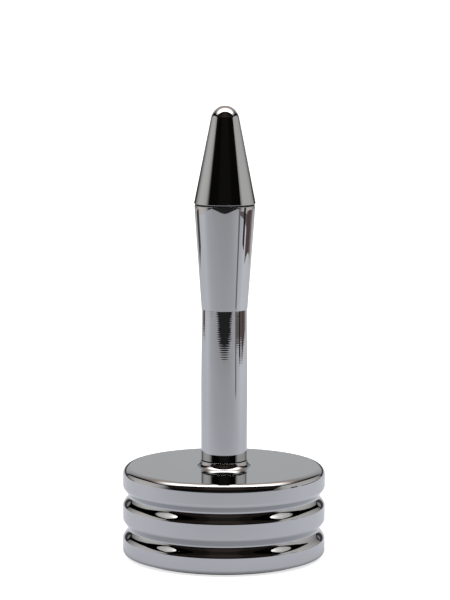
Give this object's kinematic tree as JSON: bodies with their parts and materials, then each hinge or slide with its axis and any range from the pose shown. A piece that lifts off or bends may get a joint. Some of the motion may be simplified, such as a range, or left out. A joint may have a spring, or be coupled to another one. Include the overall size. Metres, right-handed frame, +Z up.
{
  "type": "razor stand",
  "caption": "Chrome razor stand: heavy ringed round base, slim stem, upward-widening sleeve and a nose cone that a hollow razor handle drops over.",
  "frame": {"origin": "centre of the pad's resting face, on the stand's axis", "axes": "+Z up along the stand's axis, from the base to the nose cone; the stand is round, so X and Y are free"},
  "size_m": [0.05, 0.05, 0.1111],
  "materials": {
    "nose_cone": "mirror-polished chrome plate",
    "taper_sleeve": "mirror-polished chrome plate",
    "stem_tube": "polished chrome plate over fine turning marks",
    "foot_collar": "polished chrome plate",
    "base_body": "mirror-polished chrome plate",
    "tie_rod": "plain threaded steel rod",
    "flat_washer": "bright zinc plate",
    "spring_washer": "blued spring steel",
    "clamp_nut": "bright zinc plate",
    "ballast_ring": "raw casting, dark",
    "base_cover": "plain pressed steel",
    "cover_screws": "plain steel",
    "foot_pad": "matt closed-cell foam rubber"
  },
  "bodies": {
    "root": {"nose_cone": "nose_cone", "taper_sleeve": "taper_sleeve", "stem_tube": "stem_tube", "foot_collar": "foot_collar", "base_body": "base_body", "tie_rod": "tie_rod", "flat_washer": "flat_washer", "spring_washer": "spring_washer", "clamp_nut": "clamp_nut", "ballast_ring": "ballast_ring", "base_cover": "base_cover", "cover_screw_1": "cover_screws", "cover_screw_2": "cover_screws", "cover_screw_3": "cover_screws", "foot_pad": "foot_pad"}
  },
  "joints": []
}
